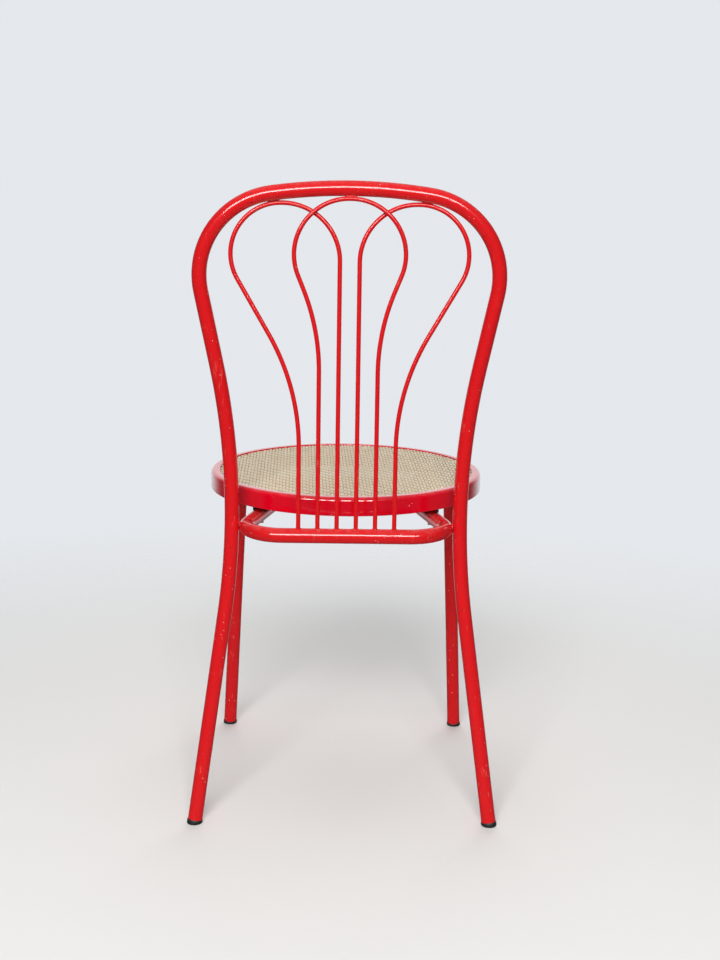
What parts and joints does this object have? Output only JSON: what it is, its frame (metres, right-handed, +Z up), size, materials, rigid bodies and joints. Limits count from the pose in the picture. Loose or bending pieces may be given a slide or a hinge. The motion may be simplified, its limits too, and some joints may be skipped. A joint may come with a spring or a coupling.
{
  "type": "cafe chair",
  "caption": "Bent-tube cafe chair with a rounded hoop back, wire loops in the back and a round cane seat in a red rim.",
  "frame": {"origin": "on the floor, at the middle of the box around the chair's footprint", "axes": "+Z up, -Y the way the chair faces, +X to the left of a person sitting on it"},
  "size_m": [0.4338, 0.4503, 0.883],
  "materials": {
    "frame_paint": "gloss orange-red paint over steel tube, with small chips and scuffs",
    "wire_paint": "gloss orange-red paint over steel wire",
    "rim_plastic": "high gloss crimson, moulded",
    "cane": "close woven pale cane, satin",
    "spacer_plastic": "matte black, moulded",
    "screw_steel": "zinc plated",
    "cap_plastic": "matte black, scuffed where it meets the floor"
  },
  "bodies": {
    "root": {"back_hoop": "frame_paint", "seat_bar": "frame_paint", "front_frame": "frame_paint", "wire_loop_left": "wire_paint", "wire_loop_middle": "wire_paint", "wire_loop_right": "wire_paint", "seat_rim": "rim_plastic", "cane_panel": "cane", "spacer_rear_left": "spacer_plastic", "spacer_rear_right": "spacer_plastic", "spacer_front_left": "spacer_plastic", "spacer_front_right": "spacer_plastic", "rear_seat_screws": "screw_steel", "front_seat_screws": "screw_steel", "foot_cap_rear_left": "cap_plastic", "foot_cap_rear_right": "cap_plastic", "foot_cap_front_left": "cap_plastic", "foot_cap_front_right": "cap_plastic"}
  },
  "joints": []
}
